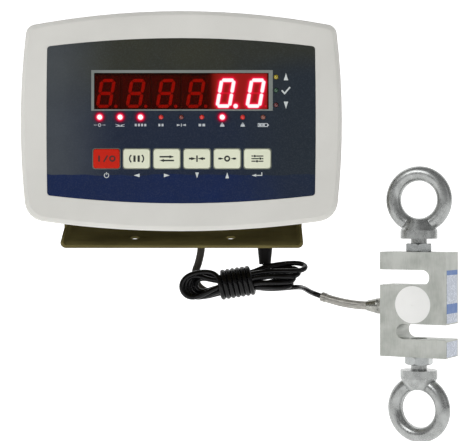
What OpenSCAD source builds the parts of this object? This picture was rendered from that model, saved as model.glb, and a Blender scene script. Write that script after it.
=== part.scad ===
// Crane scale: an LED weight indicator on a tilting bracket, wired to an S-type load cell
// that hangs between two lifting eyes. The origin is the middle of the upper eye,
// +Z is up, +X is to the right of someone who reads the display, and +Y is away from them.

/* [Indicator] */
// Middle of the indicator, left of the load cell's axis
ind_x = -173; // [-190:1:-165]
// Middle of the indicator, above the upper eye's middle
ind_z = 56.4; // [50:0.2:70]
// Width of the face at its corners
face_w = 223.2; // [222:0.2:230]
// Height of the face at its corners
face_h = 139.4; // [139:0.2:142]
// How far each side of the face bows out
side_bow = 4.4; // [3:0.1:6]
// How far the top of the face bows up
top_bow = 10.8; // [8:0.1:12]
// How far the bottom of the face bows down
bottom_bow = 8.7; // [7:0.1:8.8]
// Depth of the front bezel
bezel_d = 15; // [15:0.1:16]
// Depth of the rear shell behind the bezel's gasket
shell_d = 42; // [40:0.5:44]

/* [Display and keys] */
// Distance between digit middles
digit_pitch = 21.6; // [21.2:0.1:22]
// Height of the lit part of a digit
digit_h = 20.9; // [19:0.1:21]
// Distance between key middles
key_pitch = 21.7; // [21.5:0.1:22]
// Width of a key
key_w = 19; // [18:0.1:19.2]
// Height of a key
key_h = 13.9; // [12:0.1:14]

/* [Bracket] */
// How far the indicator leans back on its bracket
lean = 18; // [14:1:22]
// Width over the bracket's arms
bracket_w = 177; // [177:0.5:180]
// Thickness of the bracket's sheet
sheet = 2; // [1.5:0.1:2]
// Distance from the tilt axis down to the bracket's plate
drop = 74.2; // [73:0.2:78]
// Diameter of the bracket's fixing holes
fixing_d = 7; // [5:0.5:8]
// Distance between the fixing holes
fixing_pitch = 71; // [60:1:90]

/* [Load cell] */
// Width of the S block
cell_w = 50.8; // [50.8:0.1:52]
// Thickness of the S block
cell_t = 25.4; // [25:0.1:27]
// Height of the S block
cell_h = 76.2; // [75:0.1:77]
// Height of each slot
slot_h = 11; // [9:0.5:11]
// Thickness of the upper and lower arms
arm_h = 13; // [12.5:0.1:13]
// Turn of the block about its hanging axis
cell_yaw = 28.7; // [0:0.1:40]
// Turn of the upper eye about the hanging axis
upper_yaw = 22; // [-90:1:90]
// Turn of the lower eye about the hanging axis
lower_yaw = 33.5; // [-90:0.5:90]

/* [Lifting eyes] */
// Radius of the ring's middle line
ring_r = 19; // [18.5:0.1:20]
// Radius of the ring's bar
bar_r = 5.5; // [5.4:0.1:6]
// Radius of the eye's flat inner land
eye_r = 13.7; // [13.7:0.1:14]
// Radius of the collar
collar_r = 13.5; // [12:0.1:14]
// Distance from the eye's middle to the collar's seat
seat = 28.5; // [27:0.1:29]

/* [Cable] */
// Diameter of the signal cable
cable_d = 4; // [3:0.1:4.2]
// Diameter of the power lead
lead_d = 6; // [5:0.1:6]

/* [Hidden] */
$fn = 64;

// Colours
case_grey = "#D4D3CE";
board_green = "#1F5A35";
steel = "#A9ABA8";
black = "#1B1B1D";
olive = "#3A3826";

// Depths in the indicator, from front to back
face_y = -bezel_d;
front_wall = 3;
side_wall = 3.5;
film = 0.6;
gasket_t = 1;
plate_y = gasket_t + 2.5;
back_y = gasket_t + shell_d;
back_wall = 2.5;
board_y = -4.5;
board_t = 1.6;
battery_x = -20;
box_w = 160;
box_h = 124;

// The outline's middle is a little below the indicator's middle
face_drop = 0.9;
screw_places = [[102, 54], [-102, 54], [102, -54], [-102, -54], [0, 68], [0, -68]];
corner_places = [[73.5, 55.5], [-73.5, 55.5], [73.5, -55.5], [-73.5, -55.5]];
board_places = [[88, 36], [-88, 36], [88, -38], [-88, -38]];
main_places = [[64, 52], [-64, 52], [64, 8], [-64, 8]];

// Window, digits, lamps and keys on the face
window_x = 0.2;
window_z = 21.4;
window_w = 125.6;
window_h = 26.2;
digit_x0 = -0.4 - 2.5*digit_pitch;
digit_z = 20;
digit_body_h = 25.8;
digit_gap = 0.8;
digit_y = -12;
segment_w = 2.3;
slant = 10;
lamp_r = 1.8;
lamp_pitch = 14.7;
lamp_x0 = -58.6;
lamp_z = 2.7;
limit_x = 68.3;
limit_zs = [31.6, 22.1, 11.5];
key_x0 = 0.6 - 2.5*key_pitch;
key_z = -27.2;
key_proud = 1;
key_corner = 2;
key_gap = 0.25;
key_flange_y = -11.9;
key_back_y = -10.5;
switch_top_y = -9.8;

// Tilt hinge
hinge_y = 22;
hinge_z = 52;
hinge_v = hinge_z - ind_z;
stud_r = 3;
boss_x = 84.8;
boss_r = 10;
arm_x = bracket_w/2;
bend_x = arm_x - sheet - 2.5;
plate_front = 48.3;
plate_rear = 15;
arm_tab_r = 15;
fixing_inset = 18.2;

// Leads out of the rear shell
leads_v = -35;
signal_u = 62.4;
power_u = 12;
lead_bend = 27;
plug_end_y = 61;
gland_end_y = 58;

// Load cell, with the block's middle below the origin
cell_top = -38;
cell_z = cell_top - cell_h/2;
lower_eye_z = cell_top - cell_h - 10 - seat;
slot_end_r = slot_h/2;
web = 12.7;
slot_z = cell_h/2 - arm_h - slot_h/2;
thread_r = 5.9;
thread_bore_r = 5.95;
shank = 21;
nut_h = 6;
nut_r = 18/sqrt(3);
nut_gap = 0.03;
cover_r = 13.5;
pocket_r = 11;
gauge_web = 2.2;
gland_z = -2.4;
conduit_r = 3.2;
conduit_bore = 2.1;
conduit_bend = 125;
conduit_turn = 17.5;
conduit_x = -40.5;

// Hank of signal cable: left loops, right tip and lower right loops, as X and Z
hank_y = 72;
hank_half = 8;
hank_left = [-166.4, -66.5];
hank_left_r = 12;
hank_tip = [-81.5, -51.5];
hank_tip_r = 5;
hank_low = [-93.5, -63];
hank_low_r = 5.5;
wrap_mid = [-133.6, hank_y, -63.8];
wrap_len = 28;
wrap_r = 12.4;
hank_rise = 8.7;

// Routes of the free stretches, chosen by hand
power_route = [
    [-161, 58, 21.4], [-161, 61, 21.4], [-161, 71, 19.4], [-161, 80, 13.5], [-161, 86, 4.5],
    [-161, 88, -6], [-161, 88, -18], [-161, 88, -30], [-161.5, 88, -40], [-163.5, 88, -49],
    [-165.5, 88, -55], [-166, 88.5, -61], [-163.5, 89.5, -67], [-158.5, 90.5, -71],
    [-153.5, 91, -72.2], [-150, 91, -71.7]
];
upper_route = [
    [-110.6, 88, -50], [-110.6, 87.4, -53.4], [-110.8, 85.6, -56.5], [-111, 83, -58.8],
    [-111, 80, -59.5]
];
lower_route = [
    [-87, 72, -64], [-85.2, 71.4, -65.6], [-82.5, 67, -67], [-79.5, 58.5, -68.3],
    [-77.5, 49.5, -69.5], [-73.5, 41, -71], [-68.5, 37.5, -72.7], [-66, 36.1, -73.6]
];

// ---- helpers ----

// Extrudes a shape drawn in X and Z from depth y0 to depth y1
module slab(y0, y1) {
    translate([0, y1, 0])
        rotate([90, 0, 0])
            linear_extrude(y1 - y0)
                children();
}

module along_y(y0, y1, r, r2 = -1) {
    translate([0, y1, 0])
        rotate([90, 0, 0])
            cylinder(h = y1 - y0, r1 = r2 < 0 ? r : r2, r2 = r);
}

module along_x(x0, x1, r) {
    translate([x0, 0, 0])
        rotate([0, 90, 0])
            cylinder(h = x1 - x0, r = r);
}

module round_rect(w, h, r) {
    square([w - 2*r, h], center = true);
    square([w, h - 2*r], center = true);
    for (x = [-1, 1], y = [-1, 1])
        translate([x*(w/2 - r), y*(h/2 - r)])
            circle(r = r);
}

module at_indicator() {
    translate([ind_x, 0, ind_z])
        children();
}

module at_hinge() {
    translate([ind_x, hinge_y, hinge_z])
        children();
}

module at_cell() {
    translate([0, 0, cell_z])
        rotate([0, 0, -cell_yaw])
            children();
}

function corner(cx, cy, r, a) = [for (i = [0:4]) [cx + r*cos(a + 22.5*i), cy + r*sin(a + 22.5*i)]];

function side(p, q, n) = [for (i = [1:n - 1]) p + (q - p)*i/n];

// A rectangle with upper corners of radius t and lower corners of radius b
function frame_path(w, h, t, b) = concat(
    corner(w/2 - t, h/2 - t, t, 0),
    side([w/2 - t, h/2], [t - w/2, h/2], 14),
    corner(t - w/2, h/2 - t, t, 90),
    side([-w/2, h/2 - t], [-w/2, b - h/2], 8),
    corner(b - w/2, b - h/2, b, 180),
    side([b - w/2, -h/2], [w/2 - b, -h/2], 14),
    corner(w/2 - b, b - h/2, b, 270),
    side([w/2, b - h/2], [w/2, h/2 - t], 8)
);

// Bows a point of that rectangle outwards
function bow(p, w, h, s, t, b) = [
    p.x + 2*p.x/w*s*(1 - pow(2*p.y/h, 2)),
    p.y + 2*p.y/h*(p.y > 0 ? t : b)*(1 - pow(2*p.x/w, 2))
];

module face_outline(inset = 0) {
    w = face_w - 2*inset;
    h = face_h - 2*inset;
    translate([0, -face_drop])
        polygon([for (p = frame_path(w, h, 5 - inset/2, 11 - inset/2))
            bow(p, w, h, side_bow, top_bow, bottom_bow)]);
}

module film_outline(grow = 0) {
    w = 192.6 + 2*grow;
    h = 107 + 2*grow;
    polygon([for (p = frame_path(w, h, 2, 2)) bow(p, w, h, 0.5, 6, 5.8)]);
}

// Tube swept along a route
function unit(v) = v/norm(v);

function clip(v, i) = v[max(0, min(len(v) - 1, i))];

module tube(route, r) {
    sides = 8;
    path = route;
    last = len(path) - 1;
    rings = [for (i = [0:last])
        let (t = unit(clip(path, i + 1) - clip(path, i - 1)))
        let (u = unit(cross(t, [1, 1, 0])))
        let (w = cross(u, t))
        for (k = [0:sides - 1])
            path[i] + r*(cos(360*k/sides)*u + sin(360*k/sides)*w)];
    walls = [for (i = [0:last - 1], k = [0:sides - 1])
        [i*sides + k, i*sides + (k + 1)%sides, (i + 1)*sides + (k + 1)%sides, (i + 1)*sides + k]];
    first_cap = [for (k = [0:sides - 1]) sides - 1 - k];
    last_cap = [for (k = [0:sides - 1]) last*sides + k];
    polyhedron(points = rings, faces = concat([first_cap], walls, [last_cap]));
}

// ---- indicator ----

module key_holes(grow) {
    for (i = [0:5])
        translate([key_x0 + i*key_pitch, key_z])
            round_rect(key_w + 2*grow, key_h + 2*grow, key_corner + grow);
}

module lamp_holes(r) {
    for (i = [0:8])
        translate([lamp_x0 + i*lamp_pitch, lamp_z])
            circle(r = r);
}

module limit_holes(r) {
    for (z = limit_zs)
        translate([limit_x, z])
            circle(r = r);
}

module front_bezel() {
    color(case_grey) at_indicator() difference() {
        union() {
            difference() {
                hull() {
                    slab(face_y, face_y + 0.2) face_outline(3.2);
                    slab(face_y + 1.1, face_y + 1.3) face_outline(0.8);
                    slab(face_y + 3.4, 0) face_outline();
                }
                slab(face_y + front_wall, 1) face_outline(side_wall);
            }
            for (p = screw_places)
                slab(face_y + front_wall, 0) translate(p) circle(r = 4);
            for (p = board_places)
                slab(face_y + front_wall, board_y) translate(p) circle(r = 3);
        }
        slab(face_y - 1, face_y + film) film_outline(0.1);
        slab(face_y - 1, face_y + front_wall + 1) {
            translate([window_x, window_z])
                square([window_w + 1.4, window_h + 1.4], center = true);
            key_holes(key_gap);
            lamp_holes(lamp_r + 0.1);
            limit_holes(lamp_r + 0.1);
        }
        for (p = screw_places)
            slab(-9, 1) translate(p) circle(r = 1.5);
        for (p = board_places)
            slab(-10, board_y + 1) translate(p) circle(r = 1.25);
    }
}

module shell_gasket() {
    color(black) at_indicator() slab(0, gasket_t) difference() {
        face_outline(0.6);
        face_outline(side_wall - 0.2);
    }
}

module back_plate() {
    color(case_grey) at_indicator() difference() {
        slab(gasket_t, plate_y) face_outline();
        slab(0, plate_y + 1) {
            round_rect(box_w - 26, box_h - 16, 8);
            for (p = concat(screw_places, corner_places))
                translate(p) circle(r = 1.7);
        }
    }
}

module rear_shell() {
    color(case_grey) at_indicator() difference() {
        union() {
            difference() {
                hull() {
                    slab(plate_y, back_y - 3) round_rect(box_w, box_h, 9, $fn = 32);
                    slab(back_y - 0.4, back_y) round_rect(box_w - 5, box_h - 5, 8, $fn = 32);
                }
                slab(0, back_y - back_wall) round_rect(box_w - 5, box_h - 5, 6.5);
            }
            for (s = [-1, 1])
                translate([s > 0 ? 70 : -boss_x, hinge_y, hinge_v])
                    along_x(0, boss_x - 70, boss_r);
            for (p = main_places)
                slab(17.6, back_y - back_wall) translate(p) circle(r = 3.5);
            for (p = corner_places)
                slab(plate_y, 15) translate(p) circle(r = 4.2);
        }
        for (p = corner_places)
            slab(plate_y - 1, 13) translate(p) circle(r = 1.5);
        for (p = main_places)
            slab(10, 30) translate(p) circle(r = 1.25);
        translate([0, hinge_y, hinge_v])
            along_x(-boss_x - 1, boss_x + 1, stud_r + 0.06);
        translate([signal_u, 0, leads_v])
            along_y(35, back_y + 1, 8);
        translate([power_u, 0, leads_v])
            along_y(35, back_y + 1, 6.05);
    }
}

module screw(y, r, length) {
    along_y(y - length, y, r);
    along_y(y, y + 1.4, 2*r);
    difference() {
        along_y(y + 1.4, y + 2.2, 2*r - 0.5, 2*r);
        slab(y + 1.6, y + 3) square([0.7, 3*r], center = true);
        slab(y + 1.6, y + 3) square([3*r, 0.7], center = true);
    }
}

module housing_screws() {
    color("#B9BBBD") at_indicator() for (p = screw_places)
        translate([p.x, 0, p.y]) screw(plate_y, 1.5, 12);
    color("#B9BBBD") at_indicator() for (p = corner_places)
        translate([p.x, gasket_t, p.y]) mirror([0, 1, 0]) screw(0, 1.5, 11);
}

module board_screws() {
    color("#B9BBBD") at_indicator() {
        for (p = board_places)
            translate([p.x, 0, p.y]) screw(board_y + board_t, 1.25, 6);
        for (p = main_places)
            translate([p.x, 16, p.y]) mirror([0, 1, 0]) screw(0, 1.25, 8);
    }
}

module overlay_panel() {
    color("#1D2C4C") at_indicator() slab(face_y, face_y + film) difference() {
        film_outline();
        translate([window_x, window_z])
            square([window_w, window_h], center = true);
        key_holes(key_gap);
        lamp_holes(lamp_r + 0.05);
        limit_holes(lamp_r + 0.05);
    }
}

module display_window() {
    color("#460E00") at_indicator()
        slab(face_y + film, face_y + film + 1.9)
            translate([window_x, window_z])
                square([window_w + 1.2, window_h + 1.2], center = true);
}

// One bar of a digit, with pointed ends
module bar(length) {
    w = segment_w/2;
    polygon([[-length/2, 0], [w - length/2, w], [length/2 - w, w],
        [length/2, 0], [length/2 - w, -w], [w - length/2, -w]]);
}

module segments() {
    half = digit_h/2 - segment_w/2;
    wide = 11.2 - segment_w;
    multmatrix([[1, tan(slant), 0, 0], [0, 1, 0, 0], [0, 0, 1, 0]]) {
        for (z = [-half, 0, half])
            translate([0, z]) bar(wide - 0.6);
        for (x = [-1, 1], z = [-1, 1])
            translate([x*wide/2, z*half/2]) rotate(90) bar(half - 0.6);
    }
    translate([7.2, -half]) circle(r = 1.2);
}

module led_digit(i) {
    color("#2A0A05") at_indicator() translate([digit_x0 + i*digit_pitch, 0, digit_z]) {
        slab(digit_y, board_y)
            square([digit_pitch - digit_gap, digit_body_h], center = true);
        slab(digit_y - 0.25, digit_y) segments();
    }
}

module lamp() {
    translate([0, face_y + 1, 0]) intersection() {
        sphere(r = lamp_r);
        along_y(-lamp_r - 1, 0, lamp_r + 1);
    }
    along_y(face_y + 1, -11, lamp_r);
    along_y(-11, -10, 2.2);
    along_y(-10, board_y, 1.5);
}

module status_leds() {
    color("#C21A0C") at_indicator() for (i = [0:8])
        translate([lamp_x0 + i*lamp_pitch, 0, lamp_z]) lamp();
}

module limit_leds() {
    color("#8E8220") at_indicator() for (z = limit_zs)
        translate([limit_x, 0, z]) lamp();
}

module key_cap(i, c) {
    color(c) at_indicator() translate([key_x0 + i*key_pitch, 0, key_z]) {
        hull() {
            slab(face_y - key_proud, face_y - key_proud + 0.1)
                round_rect(key_w - 0.8, key_h - 0.8, key_corner - 0.4, $fn = 32);
            slab(face_y - key_proud + 0.4, key_flange_y)
                round_rect(key_w, key_h, key_corner, $fn = 32);
        }
        slab(key_flange_y, key_back_y)
            square([key_pitch - 0.6, key_h + 2.2], center = true);
    }
}

module key_switches() {
    color("#2B2B2E") at_indicator() for (i = [0:5])
        translate([key_x0 + i*key_pitch, 0, key_z]) {
            slab(-8.8, board_y) square(6, center = true);
            along_y(switch_top_y, -8.8, 1.7);
        }
}

module display_board() {
    color(board_green) at_indicator()
        slab(board_y, board_y + board_t) difference() {
            translate([0, -1]) square([188, 84], center = true);
            for (p = board_places) translate(p) circle(r = 1.35);
        }
}

module main_board() {
    color(board_green) at_indicator() difference() {
        union() {
            slab(16, 17.6) translate([0, 30]) square([136, 54], center = true);
            slab(14, 16) translate([-8, 24]) square([12, 12], center = true);
            slab(13.5, 16) translate([18, 40]) square([10, 16], center = true);
            for (x = [-38, -26]) translate([x, 0, 46]) along_y(8, 16, 4);
        }
        for (p = main_places) translate([p.x, 0, p.y]) along_y(10, 20, 1.35);
    }
}

module board_connectors() {
    color("#E8E4D8") at_indicator() {
        slab(board_y + board_t, 1.5) translate([45, 14]) square([24, 7], center = true);
        slab(10, 16) translate([45, 14]) square([24, 7], center = true);
    }
}

module ribbon_cable() {
    color("#8E8E92") at_indicator()
        slab(1.5, 10) translate([45, 14]) square([20, 1.2], center = true);
}

module adc_shield() {
    color(steel) at_indicator()
        slab(10, 16) translate([44, 42]) round_rect(30, 20, 1.5);
}

module buzzer() {
    color(black) at_indicator() translate([-52, 0, 26]) difference() {
        along_y(7, 16, 6);
        along_y(6, 8, 1);
    }
}

module battery() {
    color("#3A3D42") at_indicator() {
        slab(7, 31) translate([battery_x, -33.5]) square([97, 50], center = true);
        for (x = [-34, 34])
            slab(16, 22) translate([battery_x + x, -6.5]) square([5, 4], center = true);
    }
}

module battery_strap() {
    color(steel) at_indicator() translate([battery_x, 0, 0]) {
        slab(5.8, 7) translate([0, -33.5]) square([101, 12], center = true);
        for (x = [-49.1, 49.1])
            slab(7, back_y - back_wall) translate([x, -33.5]) square([1.2, 12], center = true);
    }
}

// ---- bracket ----

// Side view of the bracket about its tilt axis, as depth and height
module bracket_side() {
    polygon([
        [-plate_front, -drop - sheet], [plate_rear, -drop - sheet], [arm_tab_r, 0],
        [-arm_tab_r, 0], [-22.9, -68.8], [-plate_front, -drop + 2.4]
    ]);
    circle(r = arm_tab_r);
}

module bracket_section() {
    difference() {
        translate([0, 20])
            round_rect(bracket_w, 2*(drop + sheet + 20), 4);
        translate([0, 20 + sheet])
            round_rect(bracket_w - 2*sheet, 2*(drop + sheet + 20), 2.5);
    }
}

// The folded sheet between two stations across the bracket
module bracket_slice(x0, x1) {
    intersection() {
        slab(-60, 30) bracket_section();
        rotate([90, 0, 90])
            translate([0, 0, x0])
                linear_extrude(x1 - x0) bracket_side();
    }
}

// Flat plate between the two bends
module bracket_plate() {
    color(olive) at_hinge() rotate([lean, 0, 0]) difference() {
        bracket_slice(-bend_x, bend_x);
        for (s = [-1, 1])
            translate([s*fixing_pitch/2, fixing_inset - plate_front, -drop - 10])
                cylinder(h = 20, d = fixing_d);
    }
}

// Arms with the bend at the foot of each
module bracket_arms() {
    color(olive) at_hinge() rotate([lean, 0, 0]) difference() {
        for (s = [-1, 1])
            bracket_slice(s < 0 ? -100 : bend_x, s < 0 ? -bend_x : 100);
        along_x(-100, 100, stud_r + 0.08);
    }
}

// Clamping knob whose stud points to -X
module tilt_knob() {
    color(black) {
        along_x(arm_x + 0.2, arm_x + 2.5, 9);
        translate([arm_x + 2.5, 0, 0]) rotate([90, 0, 90]) linear_extrude(11) {
            circle(r = 11.5);
            for (a = [0:60:300]) rotate(a) translate([10.8, 0]) circle(r = 3.2);
        }
        along_x(72, arm_x + 0.2, stud_r);
    }
}

module friction_washers() {
    color("#5A5148") at_hinge() for (s = [0, 1])
        mirror([s, 0, 0]) difference() {
            along_x(boss_x, boss_x + 1.5, boss_r);
            along_x(boss_x - 1, boss_x + 3, stud_r + 0.08);
        }
}

// ---- leads ----

module signal_socket() {
    color(steel) at_indicator() translate([signal_u, 0, leads_v]) difference() {
        union() {
            along_y(32, back_y + 3, 7.9);
            along_y(back_y, back_y + 2.4, 11, 10.2);
        }
        along_y(31, back_y - 2, 6);
    }
}

module signal_plug() {
    color("#3C3C3F") at_indicator() translate([signal_u, 0, leads_v]) {
        slab(back_y + 3, back_y + 13) {
            circle(r = 8.6);
            for (a = [0:20:340]) rotate(a) translate([8.5, 0]) circle(r = 0.7);
        }
        along_y(back_y + 13, plug_end_y, 7.4, 7.4);
    }
}

module signal_boot() {
    z = ind_z + leads_v - lead_bend;
    y = plug_end_y + lead_bend;
    color(black) translate([ind_x + signal_u, 0, 0]) {
        translate([0, plug_end_y, z])
            rotate([90, 0, 90])
                rotate_extrude(angle = 90)
                    translate([lead_bend, 0]) circle(r = 6.4);
        translate([0, y, z - 32]) cylinder(h = 32, r1 = 5.8, r2 = 6.4);
        translate([0, y, -50]) cylinder(h = z - 32 + 50, r1 = 4.6, r2 = 5.8);
    }
}

module power_gland() {
    color("#2A2A2C") at_indicator() translate([power_u, 0, leads_v]) {
        along_y(36, back_y, 6);
        slab(back_y, back_y + 4.5) circle(r = 9.8, $fn = 6);
        along_y(back_y + 4.5, back_y + 9, 8.2);
        along_y(back_y + 9, gland_end_y, 8.2, 4.6);
    }
}

module power_gland_nut() {
    color("#2A2A2C") at_indicator() translate([power_u, 0, leads_v]) difference() {
        slab(back_y - back_wall - 3.4, back_y - back_wall) circle(r = 9.8, $fn = 6);
        along_y(30, back_y, 6.05);
    }
}

module power_inlet() {
    color(black) translate([-150, 91, -71.7]) rotate([0, -hank_rise, 0]) difference() {
        union() {
            along_x(0, 9, 4);
            along_x(9, 31, 4.8);
        }
        along_x(21, 32, 2.75);
    }
}

module cable_hank() {
    color(black) {
        slab(hank_y - hank_half, hank_y + hank_half) {
            translate(hank_left) circle(r = hank_left_r);
            translate(hank_tip) circle(r = hank_tip_r);
            translate(hank_low) circle(r = hank_low_r);
            polygon([
                hank_left + [-1.1, hank_left_r - 0.05], hank_tip + [-0.5, hank_tip_r - 0.03],
                hank_tip + [4.3, -2.5], hank_low + [4.7, -2.8],
                hank_low + [-0.3, -hank_low_r + 0.01], hank_left + [1.6, -hank_left_r + 0.11]
            ]);
        }
        translate(wrap_mid) rotate([0, -hank_rise, 0])
            along_x(-wrap_len/2, wrap_len/2, wrap_r);
    }
}

// ---- load cell ----

// Upper slot, which opens to -X and ends in a full round
module cell_slot() {
    from = -cell_w/2 - 1;
    to = cell_w/2 - web - slot_end_r;
    slab(-20, 20) translate([0, slot_z]) {
        translate([from, -slot_h/2])
            square([to - from, slot_h]);
        translate([to, 0])
            circle(r = slot_end_r);
    }
}

module s_block() {
    color(steel) at_cell() difference() {
        cube([cell_w, cell_t, cell_h], center = true);
        cell_slot();
        rotate([0, 180, 0])
            cell_slot();
        for (s = [-1, 1]) {
            translate([0, 0, s > 0 ? slot_z : -slot_z - 30])
                cylinder(h = 30, r = thread_bore_r);
            translate([0, s > 0 ? gauge_web : -gauge_web - 20, 0])
                along_y(0, 20, pocket_r);
            translate([0, s > 0 ? cell_t/2 - 1.5 : -cell_t/2 - 3.5, 0])
                along_y(0, 5, cover_r + 0.05);
        }
        translate([0, 0, gland_z])
            along_x(-cell_w/2 - 1, -8, 2.5);
        translate([0, 0, gland_z])
            along_x(-cell_w/2 - 1, -cell_w/2 + 8, 4.6);
    }
}

module gauge_cover(s) {
    color("#EDEDEA") at_cell() mirror([0, s, 0]) difference() {
        along_y(-cell_t/2, -cell_t/2 + 1.5, cover_r);
        along_y(-cell_t/2 - 1, -cell_t/2 + 0.2, 1);
    }
}

module strain_gauges() {
    color("#C98A2B") at_cell() for (s = [0, 1]) mirror([0, s, 0])
        for (x = [-4, 4])
            slab(-gauge_web - 0.15, -gauge_web) translate([x, 0]) rotate(45)
                square([6, 3.5], center = true);
}

module terminal_board() {
    color(board_green) at_cell() {
        slab(-8.2, -7.4) translate([0, -5]) square([13, 5], center = true);
        for (x = [-5, 5])
            translate([x, 0, -5]) along_y(-7.4, -gauge_web, 0.9);
    }
}

// Rating plate above, serial strip below
module cell_labels() {
    color("#DDE3EE") at_cell() {
        translate([cell_w/2, -11, -13]) cube([0.15, 22, 38]);
        translate([cell_w/2, -11, -37.3]) cube([0.15, 22, 11]);
    }
}

module cell_gland() {
    color(steel) at_cell() translate([0, 0, gland_z]) difference() {
        union() {
            along_x(-cell_w/2, -cell_w/2 + 7.8, 4.55);
            translate([-cell_w/2 - 5, 0, 0]) rotate([90, 0, 90])
                linear_extrude(5) circle(r = 6.4, $fn = 6);
        }
        along_x(-40, 0, conduit_bore);
    }
}

module cell_gland_nut() {
    color(steel) at_cell() translate([-cell_w/2 - 5, 0, gland_z]) difference() {
        rotate([0, -90, 0]) union() {
            cylinder(h = 2, r = 5.8);
            translate([0, 0, 2]) cylinder(h = -conduit_x - cell_w/2 - 7, r1 = 5.8, r2 = 3.9);
        }
        along_x(-30, 5, conduit_bore);
    }
}

// Arc of the conduit, which leaves the gland level and lifts towards its far end
module conduit_arc(r, bore, from, to) {
    translate([conduit_x, 0, gland_z + conduit_bend])
        rotate([90, 0, 0])
            rotate([0, 0, -90 - to])
                rotate_extrude(angle = to - from)
                    translate([conduit_bend, 0]) difference() {
                        circle(r = r);
                        circle(r = bore);
                    }
}

module conduit() {
    color("#8F8D88") at_cell() conduit_arc(conduit_r, conduit_bore, 0, conduit_turn);
}

module conduit_ferrule() {
    color("#B4B4B0") at_cell() conduit_arc(conduit_r + 0.35, conduit_r, conduit_turn - 1.6, conduit_turn);
}

// Lifting eye with its middle at the origin and its shank downwards
module lifting_eye() {
    difference() {
        union() {
            rotate([90, 0, 0]) rotate_extrude() translate([ring_r, 0]) circle(r = bar_r);
            translate([0, 0, -seat]) cylinder(h = 6, r = collar_r);
            translate([0, 0, 6 - seat]) cylinder(h = 8, r1 = collar_r, r2 = 9);
            translate([0, 0, -seat - shank]) cylinder(h = shank, r = thread_r);
        }
        along_y(-20, 20, eye_r);
    }
}

module eye_upper() {
    color("#9C9F9D") rotate([0, 0, -upper_yaw]) lifting_eye();
}

module eye_lower() {
    color("#9C9F9D") translate([0, 0, lower_eye_z])
        rotate([0, 0, -lower_yaw]) rotate([180, 0, 0]) lifting_eye();
}

module lock_nut() {
    color("#B8BCBC") difference() {
        intersection() {
            cylinder(h = nut_h, r = nut_r, $fn = 6);
            union() {
                cylinder(h = 0.9, r1 = nut_r - 1.2, r2 = nut_r);
                translate([0, 0, 0.9]) cylinder(h = nut_h - 1.8, r = nut_r);
                translate([0, 0, nut_h - 0.9]) cylinder(h = 0.9, r1 = nut_r, r2 = nut_r - 1.2);
            }
        }
        translate([0, 0, -1]) cylinder(h = nut_h + 2, r = thread_bore_r);
    }
}

module lock_nut_upper() {
    translate([0, 0, cell_top + nut_gap]) rotate([0, 0, 20]) lock_nut();
}

module lock_nut_lower() {
    translate([0, 0, cell_top - cell_h - nut_gap - nut_h]) rotate([0, 0, 5]) lock_nut();
}

front_bezel();
shell_gasket();
back_plate();
rear_shell();
housing_screws();
overlay_panel();
display_window();
led_digit(0);  // led_digit_1
led_digit(1);  // led_digit_2
led_digit(2);  // led_digit_3
led_digit(3);  // led_digit_4
led_digit(4);  // led_digit_5
led_digit(5);  // led_digit_6
status_leds();
limit_leds();
key_cap(0, "#C5240F");  // key_on_off
key_cap(1, "#E1E4CD");  // key_hold
key_cap(2, "#E1E4CD");  // key_unit
key_cap(3, "#E1E4CD");  // key_tare
key_cap(4, "#E1E4CD");  // key_zero
key_cap(5, "#E1E4CD");  // key_set
key_switches();
display_board();
board_screws();
main_board();
board_connectors();
ribbon_cable();
adc_shield();
buzzer();
battery();
battery_strap();
bracket_plate();
bracket_arms();
at_hinge() mirror([1, 0, 0]) tilt_knob();  // tilt_knob_left
at_hinge() tilt_knob();  // tilt_knob_right
friction_washers();
signal_socket();
signal_plug();
signal_boot();
color(black) tube(upper_route, cable_d/2);  // signal_cable_upper
cable_hank();
color(black) tube(lower_route, cable_d/2);  // signal_cable_lower
power_gland();
power_gland_nut();
color("#48453F") tube(power_route, lead_d/2);  // power_lead
power_inlet();
s_block();
gauge_cover(0);  // gauge_cover_front
gauge_cover(1);  // gauge_cover_rear
strain_gauges();
terminal_board();
cell_labels();
cell_gland();
cell_gland_nut();
conduit();
conduit_ferrule();
eye_upper();
eye_lower();
lock_nut_upper();
lock_nut_lower();
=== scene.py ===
"""Crane scale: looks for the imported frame. Metres, +Z up, the viewer looks along +Y."""

import math

import bmesh
import bpy
import numpy as np
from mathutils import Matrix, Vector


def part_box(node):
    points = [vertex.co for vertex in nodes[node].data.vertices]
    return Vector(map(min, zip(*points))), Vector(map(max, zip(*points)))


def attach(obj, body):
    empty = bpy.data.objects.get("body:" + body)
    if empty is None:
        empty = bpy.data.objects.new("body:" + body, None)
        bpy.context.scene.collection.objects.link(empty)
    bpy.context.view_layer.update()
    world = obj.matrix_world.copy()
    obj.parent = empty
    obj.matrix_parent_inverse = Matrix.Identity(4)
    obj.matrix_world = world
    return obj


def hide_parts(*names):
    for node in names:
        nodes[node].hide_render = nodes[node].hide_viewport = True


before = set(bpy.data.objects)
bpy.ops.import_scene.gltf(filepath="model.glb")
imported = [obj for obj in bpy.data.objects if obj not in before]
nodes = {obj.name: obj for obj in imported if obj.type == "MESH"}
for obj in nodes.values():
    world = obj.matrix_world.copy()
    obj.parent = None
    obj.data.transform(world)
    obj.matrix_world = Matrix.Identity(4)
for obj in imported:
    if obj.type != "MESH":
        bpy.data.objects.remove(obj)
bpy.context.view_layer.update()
scene = bpy.context.scene

# ---- camera ----
camera = bpy.data.objects.new("camera", bpy.data.cameras.new("camera"))
scene.collection.objects.link(camera)
scene.camera = camera
camera.data.sensor_width = 36
camera.data.lens = 105.6
camera.data.clip_end = 20
camera.location = (-0.1328, -1.015, -0.01525)
camera.rotation_euler = (math.pi/2, 0, 0)
scene.view_settings.view_transform = "Standard"


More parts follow.
